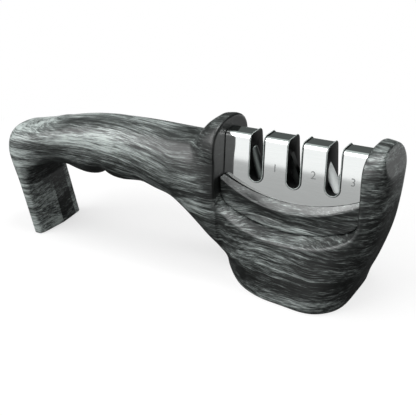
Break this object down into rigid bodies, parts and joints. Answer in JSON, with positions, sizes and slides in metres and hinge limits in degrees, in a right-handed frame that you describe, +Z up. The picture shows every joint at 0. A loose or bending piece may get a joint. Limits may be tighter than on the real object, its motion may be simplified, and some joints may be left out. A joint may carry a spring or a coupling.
{
  "type": "knife sharpener",
  "caption": "Handheld pull-through knife sharpener: slotted steel cartridge between two horns, closed handle with a finger notch and a rear leg.",
  "frame": {"origin": "on the table below the middle of the middle slot, at the underside of the base pad", "axes": "+X from the rear leg to the nose, +Y across the knife slots from the front shell to the back shell, +Z up"},
  "size_m": [0.208, 0.057, 0.0768],
  "materials": {
    "wood_print": "satin, charcoal wood-grain print",
    "black_plastic": "satin moulded",
    "rubber": "matt",
    "screw_steel": "zinc plated",
    "stainless": "polished sheet",
    "keeper_steel": "plain",
    "diamond_coat": "fine grit",
    "carbide": "ground",
    "ceramic": "smooth white ceramic"
  },
  "bodies": {
    "body": {"front_shell": "wood_print", "back_shell": "wood_print", "base_plate": "black_plastic", "base_pad": "rubber", "foot_cap": "black_plastic", "foot_pad": "rubber", "shell_screws": "screw_steel", "base_screws": "screw_steel"},
    "cartridge": {"cartridge_tray": "wood_print", "steel_cover": "stainless", "slot_frame": "black_plastic", "rod_keeper": "keeper_steel", "diamond_rod_front": "diamond_coat", "diamond_rod_back": "diamond_coat", "carbide_blade_front": "carbide", "carbide_blade_back": "carbide", "ceramic_rod_front": "ceramic", "ceramic_rod_back": "ceramic", "keeper_screws": "screw_steel", "tray_screws": "screw_steel"}
  },
  "joints": [
    {"name": "cartridge_lift", "type": "slide", "parent": "body", "child": "cartridge", "axis": [0, 0, 1], "range_m": [0, 0.055]}
  ]
}
